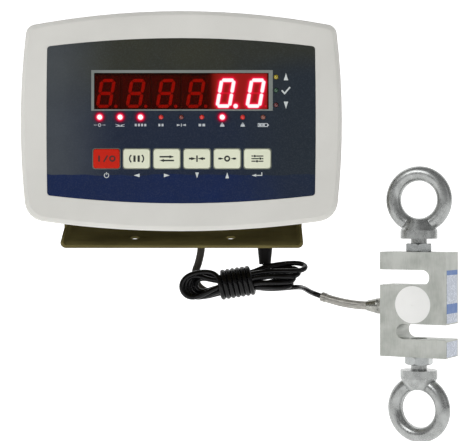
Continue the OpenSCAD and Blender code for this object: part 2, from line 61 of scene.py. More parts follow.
# ---- node materials ----
def linear(rgb):
    """An sRGB colour of 0 to 255 as linear RGBA."""
    out = [c/255/12.92 if c <= 10.3 else ((c/255 + 0.055)/1.055)**2.4 for c in rgb]
    return (*out, 1.0)


class Look:
    """A node material under construction; patterns are in metres of the frame."""

    def __init__(self, name, **sockets):
        self.material = bpy.data.materials.new(name)
        self.material.use_nodes = True
        self.tree = self.material.node_tree
        self.tree.nodes.clear()
        self.output = self.tree.nodes.new("ShaderNodeOutputMaterial")
        self.shader = self.node("ShaderNodeBsdfPrincipled", **sockets)
        self.place = self.node("ShaderNodeTexCoord").outputs["Object"]
        self.join(self.shader.outputs[0], self.output.inputs["Surface"])

    def join(self, source, socket):
        self.tree.links.new(source, socket)

    def feed(self, socket, value):
        if isinstance(value, bpy.types.NodeSocket):
            self.join(value, socket)
        elif isinstance(value, tuple) and len(value) == 3 and socket.type == "RGBA":
            socket.default_value = linear(value)
        else:
            socket.default_value = value

    def node(self, kind, props=None, **sockets):
        made = self.tree.nodes.new(kind)
        for key, value in (props or {}).items():
            setattr(made, key, value)
        for key, value in sockets.items():
            self.feed(made.inputs[key.replace("_", " ")], value)
        return made

    def math(self, op, *values):
        made = self.node("ShaderNodeMath", {"operation": op})
        for socket, value in zip(made.inputs, values):
            self.feed(socket, value)
        return made.outputs[0]

    def axis(self, letter):
        return self.node("ShaderNodeSeparateXYZ", Vector=self.place).outputs[letter]

    def noise(self, size, detail=2.0, stretch=(1, 1, 1), rough=0.5):
        """Noise of 0 to 1 whose lumps are about size metres across."""
        scale = tuple(1/(size*s) for s in stretch)
        mapped = self.node("ShaderNodeMapping", Vector=self.place, Scale=scale)
        made = self.node("ShaderNodeTexNoise", Vector=mapped.outputs[0], Scale=1.0, Detail=detail,
                         Roughness=rough)
        return made.outputs["Fac"]

    def spread(self, value, low, high, to_low=0.0, to_high=1.0, kind="LINEAR"):
        """Maps low..high on to to_low..to_high, and holds the ends."""
        made = self.node("ShaderNodeMapRange", {"interpolation_type": kind}, Value=value)
        ends = {"From Min": low, "From Max": high, "To Min": to_low, "To Max": to_high}
        for key, number in ends.items():
            made.inputs[key].default_value = number
        return made.outputs[0]

    def mix(self, share, a, b, blend="MIX"):
        made = self.node("ShaderNodeMix", {"data_type": "RGBA", "blend_type": blend})
        for index, value in ((0, share), (6, a), (7, b)):
            self.feed(made.inputs[index], value)
        return made.outputs[2]

    def ramp(self, value, stops, kind="LINEAR"):
        made = self.node("ShaderNodeValToRGB", Fac=value)
        made.color_ramp.interpolation = kind
        entries = made.color_ramp.elements
        while len(entries) < len(stops):
            entries.new(1.0)
        for entry, (at, colour) in zip(entries, stops):
            entry.position = at
            entry.color = linear(colour)
        return made.outputs[0]

    def bump(self, height, depth, strength=1.0):
        made = self.node("ShaderNodeBump", Height=height, Strength=strength, Distance=depth)
        self.join(made.outputs[0], self.shader.inputs["Normal"])

    def set(self, **sockets):
        for key, value in sockets.items():
            self.feed(self.shader.inputs[key.replace("_", " ")], value)
        return self


def plastic(name, colour, dark, rough=0.45, grain=0.0006, depth=0.00004, **sockets):
    """Moulded plastic: a fine spark-eroded grain, and a slow drift of tone and gloss."""
    look = Look(name, **sockets)
    drift = look.noise(0.05, 4)
    fine = look.noise(grain, 3)
    look.set(Base_Color=look.mix(look.spread(drift, 0.3, 0.7), dark, colour))
    both = look.math("ADD", look.math("MULTIPLY", fine, 0.6), look.math("MULTIPLY", drift, 0.4))
    look.set(Roughness=look.spread(both, 0.3, 0.7, rough - 0.06, rough + 0.08))
    look.bump(fine, depth)
    return look


def metal(name, colour, dark, rough, brush=None, mottle=0.004, depth=0.00003):
    """Metal with mottled tone, and brush marks where brush gives their stretch along X, Y and Z."""
    look = Look(name, Metallic=1.0)
    patch = look.noise(mottle, 5)
    marks = look.noise(0.0004, 4, brush or (1, 1, 1))
    both = look.math("ADD", look.math("MULTIPLY", patch, 0.55), look.math("MULTIPLY", marks, 0.45))
    look.set(Base_Color=look.mix(look.spread(both, 0.36, 0.64), dark, colour))
    look.set(Roughness=look.spread(marks, 0.3, 0.7, rough - 0.07, rough + 0.09))
    look.bump(both, depth)
    return look


def give(look, *names):
    for name in names:
        for slot in nodes[name].material_slots:
            slot.material = look.material


# ---- the indicator's own coordinates, in millimetres from the middle of its face: u right, v up ----
FACE_X, FACE_Z = -0.173, 0.0564


def at_face(u, v, y):
    return (FACE_X + u/1000, y, FACE_Z + v/1000)


def add_mesh(name, verts, faces, look, body, smooth=False):
    mesh = bpy.data.meshes.new(name)
    mesh.from_pydata(verts, [], faces)
    mesh.materials.append(look.material)
    mesh.polygons.foreach_set("use_smooth", [smooth]*len(mesh.polygons))
    piece = bpy.data.objects.new(name, mesh)
    scene.collection.objects.link(piece)
    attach(piece, body)
    return piece


class Print:
    """Thin raised shapes on the plane Y = front, in face millimetres."""

    def __init__(self, front, thick=0.00006, place=at_face):
        self.front, self.back, self.place = front, front + thick, place
        self.verts, self.faces = [], []

    def loop(self, points, y):
        first = len(self.verts)
        self.verts += [self.place(u, v, y) for u, v in points]
        return list(range(first, len(self.verts)))

    def area(self, points):
        """A filled shape; points run anticlockwise as the viewer sees them."""
        a, b = self.loop(points, self.front), self.loop(points, self.back)
        self.faces += [a, b[::-1]]
        for i in range(len(a)):
            j = (i + 1) % len(a)
            self.faces.append([a[j], a[i], b[i], b[j]])
        return self

    def line(self, points, width, closed=False):
        """A stroke of even width with mitred corners."""
        p = np.array(points, float)
        way = np.roll(p, -1, 0) - p
        if not closed:
            way[-1] = way[-2]
        way /= np.linalg.norm(way, axis=1)[:, None]
        before = np.roll(way, 1, 0)
        if not closed:
            before[0] = way[0]
        across = np.stack([-way[:, 1] - before[:, 1], way[:, 0] + before[:, 0]], 1)
        across /= np.linalg.norm(across, axis=1)[:, None]
        reach = width/2/np.maximum(across[:, 0]*-way[:, 1] + across[:, 1]*way[:, 0], 0.4)
        left, right = p + across*reach[:, None], p - across*reach[:, None]
        loops = [self.loop(side, y) for y in (self.front, self.back) for side in (left, right)]
        lf, rf, lb, rb = loops
        for i in range(len(p) if closed else len(p) - 1):
            j = (i + 1) % len(p)
            self.faces += [[rf[i], rf[j], lf[j], lf[i]], [lb[i], lb[j], rb[j], rb[i]],
                           [lf[i], lf[j], lb[j], lb[i]], [rf[j], rf[i], rb[i], rb[j]]]
        if not closed:
            self.faces += [[rf[0], lf[0], lb[0], rb[0]], [lf[-1], rf[-1], rb[-1], lb[-1]]]
        return self

    def disc(self, u, v, r, count=24):
        angles = np.linspace(0, 2*math.pi, count, False)
        return self.area([(u + r*math.cos(a), v + r*math.sin(a)) for a in angles])

    def ring(self, u, v, r, width, start=0, sweep=360, count=28):
        closed = sweep == 360
        angles = np.radians(np.linspace(start, start + sweep, count, not closed))
        return self.line([(u + r*math.cos(a), v + r*math.sin(a)) for a in angles], width, closed)

    def rect(self, u0, v0, u1, v1):
        return self.area([(u0, v0), (u1, v0), (u1, v1), (u0, v1)])

    def arrow(self, u, v, size, turn):
        """A filled triangle that points right, turned by turn degrees."""
        c, s = math.cos(math.radians(turn)), math.sin(math.radians(turn))
        corners = [(-size, -size*0.62), (size, 0), (-size, size*0.62)]
        return self.area([(u + c*a - s*b, v + s*a + c*b) for a, b in corners])

    def piece(self, name, look, body="scale", slot="overlay"):
        return add_mesh(name, self.verts, self.faces, look, body)


# ---- cords ----
CABLE_D = 0.004
LEAD_D = 0.006
CABLE_EXIT = (-0.1106, 0.088, -0.050)
# From the boot down to the turns
OUT_OF_BOOT = [
    CABLE_EXIT, (-0.1106, 0.0880, -0.0540), (-0.1118, 0.0874, -0.0585),
    (-0.1147, 0.0857, -0.0627), (-0.1182, 0.0831, -0.0662),
]
# From the turns along the bundle's foot
OUT_OF_BUNDLE = [
    (-0.1120, 0.0750, -0.0688), (-0.1040, 0.0765, -0.0688), (-0.0960, 0.0775, -0.0684),
    (-0.0890, 0.0772, -0.0676), (-0.0845, 0.0745, -0.0673), (-0.0822, 0.0690, -0.0675),
]
# Where the cable goes after the bundle
INTO_CONDUIT = [
    (-0.0795, 0.0585, -0.0683), (-0.0775, 0.0495, -0.0695), (-0.0735, 0.041, -0.071),
    (-0.0685, 0.0375, -0.0727), (-0.066, 0.0361, -0.0736),
]
# The turns that bind the bundle: their middle, and how steeply their axis rises to the right
BIND_MIDDLE = np.array([-0.1336, 0.072, -0.0638])
BIND_RISE = math.radians(8.7)
BIND_AXES = np.array([
    [math.cos(BIND_RISE), 0, math.sin(BIND_RISE)],
    [-math.sin(BIND_RISE), 0, math.cos(BIND_RISE)],
    [0, 1, 0],
])
BIND_R = 0.0104
BIND_HALF = 0.0126
BIND_FROM = math.radians(-40)
BIND_SWEEP = math.radians(-360*6 - 185)
BIND_POINTS = 84
# How far from the axis the bound strands may lie, the bend to keep, and the strands' own twist in degrees
CORE_R = 0.0062
BEND_R = 0.008
TWIST = 70
# Left folds, front to back: how far left each reaches, half its height, its middle's Z, upper Y and lower Y
LEFT_FOLDS = [
    (-0.1764, 0.0092, -0.0665, 0.0668, 0.0665),
    (-0.1738, 0.0089, -0.0665, 0.0702, 0.0702),
    (-0.1712, 0.0086, -0.0664, 0.0738, 0.0738),
    (-0.1688, 0.0084, -0.0662, 0.0775, 0.0775),
    (-0.1662, 0.0068, -0.0655, 0.0748, 0.0738),
]
# Right folds, top to bottom: front end and rear end of each
RIGHT_FOLDS = [
    ((-0.0850, 0.0663, -0.0545), (-0.0850, 0.0780, -0.0487)),
    ((-0.0905, 0.0663, -0.0592), (-0.0905, 0.0780, -0.0521)),
    ((-0.0945, 0.0663, -0.0638), (-0.0945, 0.0780, -0.0562)),
    ((-0.0960, 0.0663, -0.0674), (-0.0960, 0.0780, -0.0612)),
]
# Where the strands pass inside the turns: angles round the axis at its right end
UPPER_SLOTS = [80, 40, 0, -40]
LOWER_SLOTS = [120, 160, 200, 240, 280]


def in_turns(along, up, deep):
    return BIND_MIDDLE + np.array([along, up, deep]) @ BIND_AXES


def slot_point(along, angle, reach=1.0):
    a = math.radians(angle + TWIST*(0.5 - along/0.028))
    return in_turns(along, reach*CORE_R*math.sin(a), reach*CORE_R*math.cos(a))


def fold(start, end, side, count=5):
    """Points on a half circle from start to end that bulges to +X or -X."""
    start, end = np.array(start), np.array(end)
    middle, arm = (start + end)/2, (start - end)/2
    radius = np.linalg.norm(arm)
    out = []
    for i in range(1, count + 1):
        a = math.pi*i/(count + 1)
        out.append(middle + arm*math.cos(a) + np.array([side*radius*math.sin(a), 0, 0]))
    return out


def control_points():
    """The route's points, listed and by turn, and which of them are the first and last of the turns."""
    points = [np.array(p) for p in OUT_OF_BOOT]
    first = len(points)
    for share in np.arange(BIND_POINTS + 1)/BIND_POINTS:
        a = BIND_FROM + BIND_SWEEP*share
        points.append(in_turns(BIND_HALF*(1 - 2*share), BIND_R*math.sin(a), BIND_R*math.cos(a)))
    last = len(points) - 1
    points.append(np.array((-0.1545, 0.0672, -0.0553)))
    for k, (far, half, middle, upper_y, lower_y) in enumerate(LEFT_FOLDS):
        radius = math.hypot(half, (upper_y - lower_y)/2)
        top = np.array((far + radius, upper_y, middle + half))
        bottom = np.array((far + radius, lower_y, middle - half))
        if k:
            points.append(0.6*top + 0.4*slot_point(-0.016, UPPER_SLOTS[k - 1], 1.3))
        points += [top, *fold(top, bottom, -1), bottom]
        points.append(0.6*bottom + 0.4*slot_point(-0.016, LOWER_SLOTS[k], 1.3))
        points += [slot_point(x, LOWER_SLOTS[k]) for x in (-0.012, 0, 0.012)]
        if k < len(RIGHT_FOLDS):
            low, high = (np.array(p) for p in RIGHT_FOLDS[k])
            points += [0.5*low + 0.5*slot_point(0.016, LOWER_SLOTS[k], 1.2), low, *fold(low, high, 1), high]
            points.append(np.array((-0.1090, 0.0775, -0.0512)) if k == 0 else
                          0.5*high + 0.5*slot_point(0.016, UPPER_SLOTS[k], 1.2))
            points += [slot_point(x, UPPER_SLOTS[k]) for x in (0.012, 0, -0.012)]
    points += [np.array(p) for p in OUT_OF_BUNDLE + INTO_CONDUIT]
    return points, first, last


def smooth_curve(points, per):
    """A curve through every point, with per pieces between two of them."""
    p = np.array(points, float)
    p = np.vstack([2*p[0] - p[1], p, 2*p[-1] - p[-2]])
    out = []
    for i in range(1, len(p) - 2):
        for t in np.arange(per)/per:
            out.append(0.5*(2*p[i] + (p[i + 1] - p[i - 1])*t
                            + (2*p[i - 1] - 5*p[i] + 4*p[i + 1] - p[i + 2])*t**2
                            + (3*p[i] - p[i - 1] - 3*p[i + 1] + p[i + 2])*t**3))
    return np.array(out + [p[-2]])


def respaced(line, step):
    along = np.concatenate([[0], np.cumsum(np.linalg.norm(np.diff(line, axis=0), axis=1))])
    at = np.linspace(0, along[-1], int(round(along[-1]/step)) + 1)
    return np.stack([np.interp(at, along, line[:, k]) for k in range(3)], axis=1)


def settle(line, held, inside, rounds=40):
    """Pushes strands that overlap apart, keeps the line smooth, and keeps what the turns bind inside them."""
    home = line.copy()
    number = np.arange(len(line))
    near = np.abs(number[:, None] - number[None, :]) <= 4
    free = np.where(held, 0.0, 1.0)[:, None]
    share = free/(free + free.T + 1e-9)

    def eased(p, amount):
        move = np.zeros_like(p)
        move[1:-1] = ((p[:-2] + p[2:])/2 - p[1:-1])
        return p + amount*move*free

    def tight_share(p):
        turn = np.zeros(len(p))
        turn[1:-1] = np.linalg.norm(p[:-2] - 2*p[1:-1] + p[2:], axis=1)
        step = np.linalg.norm(p[1:] - p[:-1], axis=1).mean()
        tight = np.clip(turn*BEND_R/step**2 - 1, 0, 1)
        return np.convolve(tight, [0.5, 1, 0.5], "same").clip(0, 1)[:, None]

    p = line
    for _ in range(rounds):
        apart = p[:, None, :] - p[None, :, :]
        distance = np.sqrt((apart**2).sum(2)) + 1e-9
        overlap = np.where(near | (distance > CABLE_D), 0, CABLE_D - distance)
        push = (apart*(0.8*overlap*share/distance)[..., None]).sum(1)
        p = p + push/np.sqrt(np.maximum((overlap > 0).sum(1), 1))[:, None]
        for _ in range(3):
            p = eased(eased(p, 0.5), -0.515)
        p = p + free*(home - p)*0.05
        for _ in range(4):
            p = eased(p, 0.45*tight_share(p))
        local = (p - BIND_MIDDLE) @ BIND_AXES.T
        radius = np.hypot(local[:, 1], local[:, 2])
        grip = 1/(1 + np.exp((np.abs(local[:, 0]) - 0.0145)*1500))
        keep = np.where(inside & (radius > CORE_R), 1 + (CORE_R/np.maximum(radius, 1e-6) - 1)*grip, 1)
        local[:, 1:] *= keep[:, None]
        p = np.where(inside[:, None], BIND_MIDDLE + local @ BIND_AXES, p)
    free = np.ones((len(line), 1))
    free[:2] = free[-4:] = 0
    for _ in range(12):
        p = eased(p, 0.1 + 0.4*tight_share(p))
    return p


def signal_route():
    points, first, last = control_points()
    line = respaced(smooth_curve(points, 12), 0.003)
    start, end = (int(np.linalg.norm(line - points[i], axis=1).argmin()) for i in (first, last))
    held = np.zeros(len(line), bool)
    held[:3] = held[-12:] = held[start + 3:end - 3] = True
    inside = np.zeros(len(line), bool)
    inside[end + 4:-18] = True
    return settle(line, held, inside)


def add_cord(name, line, diameter, look, body="scale"):
    curve = bpy.data.curves.new(name, "CURVE")
    curve.dimensions = "3D"
    curve.bevel_depth = diameter/2
    curve.bevel_resolution = 6
    curve.use_fill_caps = True
    spline = curve.splines.new("POLY")
    spline.points.add(len(line) - 1)
    for point, place in zip(spline.points, line):
        point.co = (*place, 1)
    curve.materials.append(look.material)
    piece = bpy.data.objects.new(name, curve)
    scene.collection.objects.link(piece)
    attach(piece, body)
    return piece


signal_look = plastic("signal_jacket", (10, 10, 12), (5, 5, 7), rough=0.24, grain=0.0009, depth=0.00003,
                      Specular_IOR_Level=0.22)
signal_line = smooth_curve(signal_route(), 3)
signal_cable = add_cord("signal_cable", signal_line, CABLE_D, signal_look)
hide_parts("signal_cable_upper", "cable_hank", "signal_cable_lower")

POWER_ROUTE = [
    (-0.161, 0.058, 0.0214), (-0.161, 0.061, 0.0214), (-0.161, 0.071, 0.0194), (-0.161, 0.080, 0.0135),
    (-0.161, 0.086, 0.0045), (-0.161, 0.088, -0.006), (-0.161, 0.088, -0.018), (-0.161, 0.088, -0.030),
    (-0.1615, 0.088, -0.040), (-0.1635, 0.088, -0.049), (-0.1655, 0.088, -0.055), (-0.166, 0.0885, -0.061),
    (-0.1635, 0.0895, -0.067), (-0.1585, 0.0905, -0.071), (-0.1535, 0.091, -0.0722), (-0.150, 0.091, -0.0717),
]
power_look = plastic("power_jacket", (72, 69, 64), (52, 49, 45), rough=0.5, grain=0.0008, depth=0.00004,
                     Specular_IOR_Level=0.2)
power_line = smooth_curve(POWER_ROUTE, 6)
power_cord = add_cord("power_cord", power_line, LEAD_D, power_look)
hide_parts("power_lead")

# ---- studio ----
world = bpy.data.worlds.new("studio")
scene.world = world
world.use_nodes = True
world.node_tree.nodes["Background"].inputs["Color"].default_value = (1, 1, 1, 1)
world.node_tree.nodes["Background"].inputs["Strength"].default_value = 0.26

# A curved sheet of paper that lights the object from below and behind, and that the camera doesn't see
PAPER_Z, PAPER_BEND, PAPER_BACK = -0.22, 0.6, 0.9
sweep = bpy.data.meshes.new("backdrop")
profile = [(-3.0, PAPER_Z), (PAPER_BACK, PAPER_Z)]
profile += [(PAPER_BACK + PAPER_BEND*math.sin(a), PAPER_Z + PAPER_BEND*(1 - math.cos(a)))
            for a in np.linspace(0.1, math.pi/2, 14)]
profile += [(PAPER_BACK + PAPER_BEND, 3.2)]
sweep.from_pydata([(x, y, z) for y, z in profile for x in (-3.5, 3.5)], [],
                  [(2*i, 2*i + 1, 2*i + 3, 2*i + 2) for i in range(len(profile) - 1)])
sweep.polygons.foreach_set("use_smooth", [True]*len(sweep.polygons))
backdrop = bpy.data.objects.new("backdrop", sweep)
scene.collection.objects.link(backdrop)
backdrop.visible_camera = False
paper = Look("backdrop", Roughness=0.9)
paper.set(Base_Color=paper.mix(paper.noise(0.3, 3), (244, 244, 243), (250, 250, 249)),
          Emission_Color=(255, 255, 255), Emission_Strength=0.66)
sweep.materials.append(paper.material)

# A pale room that only the camera sees, round every place it may look from
ROOM_R, ROOM_FLOOR = 6.0, -1.6
shell = bmesh.new()
bmesh.ops.create_icosphere(shell, subdivisions=4, radius=ROOM_R)
whole = shell.verts[:] + shell.edges[:] + shell.faces[:]
bmesh.ops.bisect_plane(shell, geom=whole, plane_co=(0, 0, ROOM_FLOOR), plane_no=(0, 0, -1), clear_outer=True)
bmesh.ops.holes_fill(shell, edges=[e for e in shell.edges if e.is_boundary])
room_mesh = bpy.data.meshes.new("room")
shell.to_mesh(room_mesh)
shell.free()
room = bpy.data.objects.new("room", room_mesh)
scene.collection.objects.link(room)
for ray in ("diffuse", "glossy", "transmission", "volume_scatter", "shadow"):
    setattr(room, f"visible_{ray}", False)
pale_wall = Look("pale_wall", Roughness=0.9)
pale_wall.set(Base_Color=pale_wall.mix(pale_wall.noise(0.3, 3), (248, 248, 248), (252, 252, 252)),
              Emission_Color=(255, 255, 255), Emission_Strength=1.0)
room_mesh.materials.append(pale_wall.material)


# What the lights are turned towards
LIT_POINT = (-0.1, 0, 0)


def add_light(name, place, size, power):
    data = bpy.data.lights.new(name, "AREA")
    data.shape = "RECTANGLE"
    data.size, data.size_y = size
    data.energy = power
    lamp = bpy.data.objects.new(name, data)
    scene.collection.objects.link(lamp)
    lamp.location = place
    way = np.array(LIT_POINT) - np.array(place)
    yaw = math.atan2(way[0], -way[1])
    tilt = math.atan2(math.hypot(way[0], way[1]), -way[2])
    lamp.rotation_euler = (tilt, 0, yaw + math.pi)


add_light("key", (-1.3, -1.5, 1.3), (1.1, 1.1), 16.6)
add_light("fill", (1.5, -1.2, 0.4), (0.7, 1.5), 1.3)
add_light("back", (-0.4, 1.2, 1.6), (1.6, 0.8), 2.2)

# ---- looks of the CAD nodes ----
give(plastic("housing", (215, 214, 209), (207, 206, 201), rough=0.55, grain=0.0007, depth=0.00005,
             Specular_IOR_Level=0.3),
     "front_bezel", "rear_shell", "back_plate")
give(plastic("gasket_rubber", (30, 28, 29), (20, 19, 20), rough=0.6), "shell_gasket")
give(plastic("boot_rubber", (24, 22, 23), (14, 13, 14), rough=0.6, Specular_IOR_Level=0.12), "signal_boot")
zinc = metal("zinc_screws", (190, 190, 192), (140, 140, 142), 0.35, mottle=0.002)
give(zinc, "housing_screws", "board_screws")
give(plastic("key_red", (204, 34, 8), (186, 26, 5), rough=0.4, grain=0.0005, depth=0.00002,
             Specular_IOR_Level=0.2), "key_on_off")
give(plastic("key_cream", (226, 229, 206), (216, 219, 195), rough=0.4, grain=0.0005, depth=0.00002,
             Specular_IOR_Level=0.3),
     "key_hold", "key_unit", "key_tare", "key_zero", "key_set")
give(plastic("black_parts", (43, 43, 46), (30, 30, 33), rough=0.4), "key_switches", "buzzer")
give(plastic("circuit_board", (31, 94, 55), (22, 72, 41), rough=0.3, Coat_Weight=0.4),
     "display_board", "main_board", "terminal_board")
give(plastic("connector_shells", (232, 228, 216), (214, 209, 196), rough=0.4), "board_connectors")
give(plastic("ribbon", (142, 142, 146), (120, 120, 125), rough=0.45), "ribbon_cable")
tin = metal("tinplate", (178, 181, 181), (140, 143, 144), 0.3, mottle=0.01)
give(tin, "adc_shield", "battery_strap")
give(plastic("battery_case", (58, 61, 66), (44, 47, 52), rough=0.5), "battery")
give(plastic("knobs", (30, 30, 32), (20, 20, 22), rough=0.42, grain=0.0008, depth=0.00006),
     "tilt_knob_left", "tilt_knob_right")
give(plastic("fibre_washers", (90, 81, 72), (70, 62, 54), rough=0.7), "friction_washers")
bright = metal("bright_plating", (188, 191, 191), (166, 169, 169), 0.3, brush=(1, 1, 4), mottle=0.009,
               depth=0.00001)
give(bright, "lock_nut_upper", "lock_nut_lower", "signal_socket")
give(plastic("plug", (60, 60, 63), (44, 44, 47), rough=0.35), "signal_plug")
give(plastic("nylon", (42, 42, 44), (30, 30, 32), rough=0.4), "power_gland", "power_gland_nut")
give(plastic("power_moulding", (25, 25, 26), (17, 17, 18), rough=0.45), "power_inlet")
give(metal("gland_steel", (172, 172, 166), (120, 120, 116), 0.28, brush=(5, 1, 1)),
     "cell_gland", "cell_gland_nut")
give(plastic("gauge_cover", (238, 238, 236), (228, 228, 226), rough=0.55, grain=0.0005),
     "gauge_cover_front", "gauge_cover_rear")
give(plastic("gauge_film", (201, 138, 43), (170, 110, 30), rough=0.3), "strain_gauges")


def signal_block_look():
    """Ground and nickel plated: fine vertical grinding lines, faint stains, and a dull bloom."""
    look = Look("block_steel", Metallic=0.6)
    lines = look.noise(0.0003, 3, (1, 1, 22))
    across = look.noise(0.00035, 3, (20, 20, 1))
    stain = look.noise(0.012, 6)
    tone = look.math("ADD", look.math("MULTIPLY", lines, 0.35), look.math("MULTIPLY", stain, 0.65))
    look.set(Base_Color=look.mix(look.spread(tone, 0.36, 0.62), (163, 166, 160), (192, 194, 189)))
    look.set(Roughness=look.spread(look.math("ADD", lines, stain), 0.7, 1.3, 0.34, 0.52))
    look.bump(look.math("ADD", lines, look.math("MULTIPLY", across, 0.4)), 0.00003)
    return look


def eye_look():
    """Hot dip galvanised steel: smooth, with soft zinc patches, dimples and small dark pits."""
    look = Look("galvanised_eye", Metallic=0.8)
    patch = look.noise(0.006, 4)
    dimple = look.noise(0.0012, 3)
    pit = look.spread(look.noise(0.0009, 2), 0.70, 0.80, 0, 0.5)
    tone = look.mix(look.spread(patch, 0.3, 0.7), (146, 148, 147), (174, 176, 175))
    look.set(Base_Color=look.mix(pit, tone, (112, 114, 112)))
    look.set(Roughness=look.spread(look.math("ADD", patch, dimple), 0.7, 1.3, 0.22, 0.36))
    look.bump(look.math("ADD", dimple, look.math("MULTIPLY", patch, 0.8)), 0.00003, 0.5)
    return look


give(signal_block_look(), "s_block")
give(eye_look(), "eye_upper", "eye_lower")


def bracket_look():
    """Olive paint over steel: slight orange peel, dusty patches, and rubbed lighter streaks."""
    look = Look("bracket_paint", Specular_IOR_Level=0.0)
    patch = look.noise(0.03, 5, (2, 1, 1))
    streak = look.noise(0.0012, 4, (18, 1, 1))
    peel = look.noise(0.0011, 2)
    tone = look.mix(look.spread(patch, 0.35, 0.65), (86, 79, 50), (108, 100, 63))
    look.set(Base_Color=look.mix(look.spread(streak, 0.6, 0.8, 0, 0.45), tone, (126, 117, 74)))
    look.set(Roughness=look.spread(patch, 0.3, 0.7, 0.5, 0.66))
    look.bump(peel, 0.00006)
    return look


give(bracket_look(), "bracket_plate", "bracket_arms")


# How far the load cell is turned from facing the viewer
CELL_YAW = math.radians(28.7)


def label_look():
    """White film with blue blocks across it, and thin grey broken lines that run upwards."""
    look = Look("label_film", Roughness=0.35, Specular_IOR_Level=0.3)
    low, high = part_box("cell_labels")
    share = look.math("DIVIDE", look.math("SUBTRACT", look.axis("Z"), low[2]), high[2] - low[2])
    across = look.math("ADD", look.math("MULTIPLY", look.axis("X"), math.sin(CELL_YAW)),
                       look.math("MULTIPLY", look.axis("Y"), math.cos(CELL_YAW)))
    blue, white, ruled = (58, 106, 176), (214, 220, 232), (138, 148, 168)
    row = look.math("LESS_THAN", look.math("FRACT", look.math("DIVIDE", across, 0.0023)), 0.42)
    broken = look.math("GREATER_THAN", look.noise(0.0011, 2), 0.44)
    paper = look.mix(look.math("MULTIPLY", row, broken), white, ruled)
    block = look.ramp(share, [(0.0, (0, 0, 0)), (0.50, (255, 255, 255)), (0.61, (0, 0, 0)),
                              (0.945, (255, 255, 255))], "CONSTANT")
    base = look.mix(block, paper, blue)
    soil = look.spread(look.noise(0.004, 4), 0.35, 0.65, 0, 0.12)
    look.set(Base_Color=look.mix(soil, base, (180, 186, 198)))
    look.bump(look.noise(0.001, 2), 0.00002)
    return look


give(label_look(), "cell_labels")


def conduit_look():
    """Drawn steel sleeve: lengthwise brush lines with barely visible laps."""
    look = Look("conduit_steel", Metallic=0.75)
    laps = look.node("ShaderNodeTexWave", {"bands_direction": "X"}, Vector=look.place, Scale=300.0,
                     Distortion=0.4)
    lines = look.noise(0.0005, 4, (30, 6, 1))
    tone = look.mix(look.spread(lines, 0.35, 0.65), (122, 120, 115), (176, 174, 168))
    look.set(Base_Color=look.mix(look.spread(laps.outputs["Fac"], 0.0, 0.4, 0.75, 1), (104, 102, 98), tone))
    look.set(Roughness=look.spread(lines, 0.3, 0.7, 0.3, 0.46))
    look.bump(laps.outputs["Fac"], 0.00003, 0.4)
    return look


give(conduit_look(), "conduit", "conduit_ferrule")


def overlay_look():
    """Printed polyester: olive at the top, slate below, a navy foot, and a painted pale sheen to the left."""
    look = Look("overlay_film", Specular_IOR_Level=0.12)
    u = look.math("SUBTRACT", look.axis("X"), FACE_X)
    v = look.math("SUBTRACT", look.axis("Z"), FACE_Z)
    cloud = look.noise(0.02, 5)
    weave = look.noise(0.0007, 3)
    tone = look.mix(look.spread(v, -0.006, 0.044, kind="SMOOTHSTEP"), (27, 37, 57), (50, 51, 41))
    right = look.spread(u, 0.02, 0.085, kind="SMOOTHSTEP")
    low = look.spread(v, 0.030, 0.052, 1, 0.25, "SMOOTHSTEP")
    tone = look.mix(look.math("MULTIPLY", right, low), tone, (35, 43, 52))
    # Painted sheen: a pale grey wash over the film's left part, fading out towards the middle.
    tone = look.mix(look.spread(u, -0.094, -0.040, 0.8, 0, "SMOOTHSTEP"), tone, (72, 77, 82))
    wave = look.math("ADD", v, look.math("MULTIPLY", look.noise(0.02, 1), 0.004))
    tone = look.mix(look.spread(wave, -0.037, -0.0365, 1, 0, "SMOOTHSTEP"), tone,
                    look.mix(look.spread(u, 0.03, 0.085, kind="SMOOTHSTEP"), (13, 32, 74), (28, 39, 60)))
    tone = look.mix(look.spread(cloud, 0.3, 0.7, 0, 0.2), tone, (28, 34, 44))
    look.set(Base_Color=look.mix(look.spread(weave, 0.45, 0.75, 0, 0.14), tone, (92, 98, 104)))
    look.set(Roughness=look.spread(weave, 0.3, 0.7, 0.46, 0.6))
    look.bump(weave, 0.00003)
    return look


give(overlay_look(), "overlay_panel")


# ---- display ----
def window_look():
    """Dark red filter: partly clear, so that the digits show through."""
    look = Look("red_filter", Roughness=0.2, Specular_IOR_Level=0.25)
    smoke = look.noise(0.03, 3)
    look.set(Base_Color=look.mix(smoke, (46, 14, 4), (60, 20, 6)))
    look.bump(look.noise(0.0007, 2), 0.00001)
    clear = look.node("ShaderNodeBsdfTransparent", Color=(246, 120, 62))
    both = look.node("ShaderNodeMixShader", Fac=0.7)
    look.join(look.shader.outputs[0], both.inputs[1])
    look.join(clear.outputs[0], both.inputs[2])
    look.join(both.outputs[0], look.output.inputs["Surface"])
    return look


give(window_look(), "display_window")


def digit_look():
    """Dark reflector body with frosted red bars standing proud of it; every bar, lit or not, has a faint
    painted glow.
    """
    look = Look("digit", Roughness=0.4)
    bar = look.math("LESS_THAN", look.axis("Y"), -0.01201)
    body = look.mix(look.noise(0.002, 3), (74, 40, 18), (92, 50, 24))
    frost = look.mix(look.noise(0.0008, 3), (206, 100, 36), (224, 122, 50))
    # Every bar gets a faint painted glow, the unlit ones too.
    look.set(Base_Color=look.mix(bar, body, frost), Emission_Color=(255, 138, 34),
             Emission_Strength=look.math("MULTIPLY", bar, 0.25))
    look.bump(look.noise(0.0006, 2), 0.00002)
    return look


give(digit_look(), *(f"led_digit_{i}" for i in range(1, 7)))

LAMP_U, LAMP_PITCH, LAMP_V, LAMP_R = -58.6, 14.7, 2.7, 1.8
LIT, RED, DIM, BROWN = "lit", (206, 34, 26), (112, 48, 42), (126, 74, 62)
STATUS = [LIT, LIT, LIT, RED, DIM, RED, LIT, RED, BROWN]


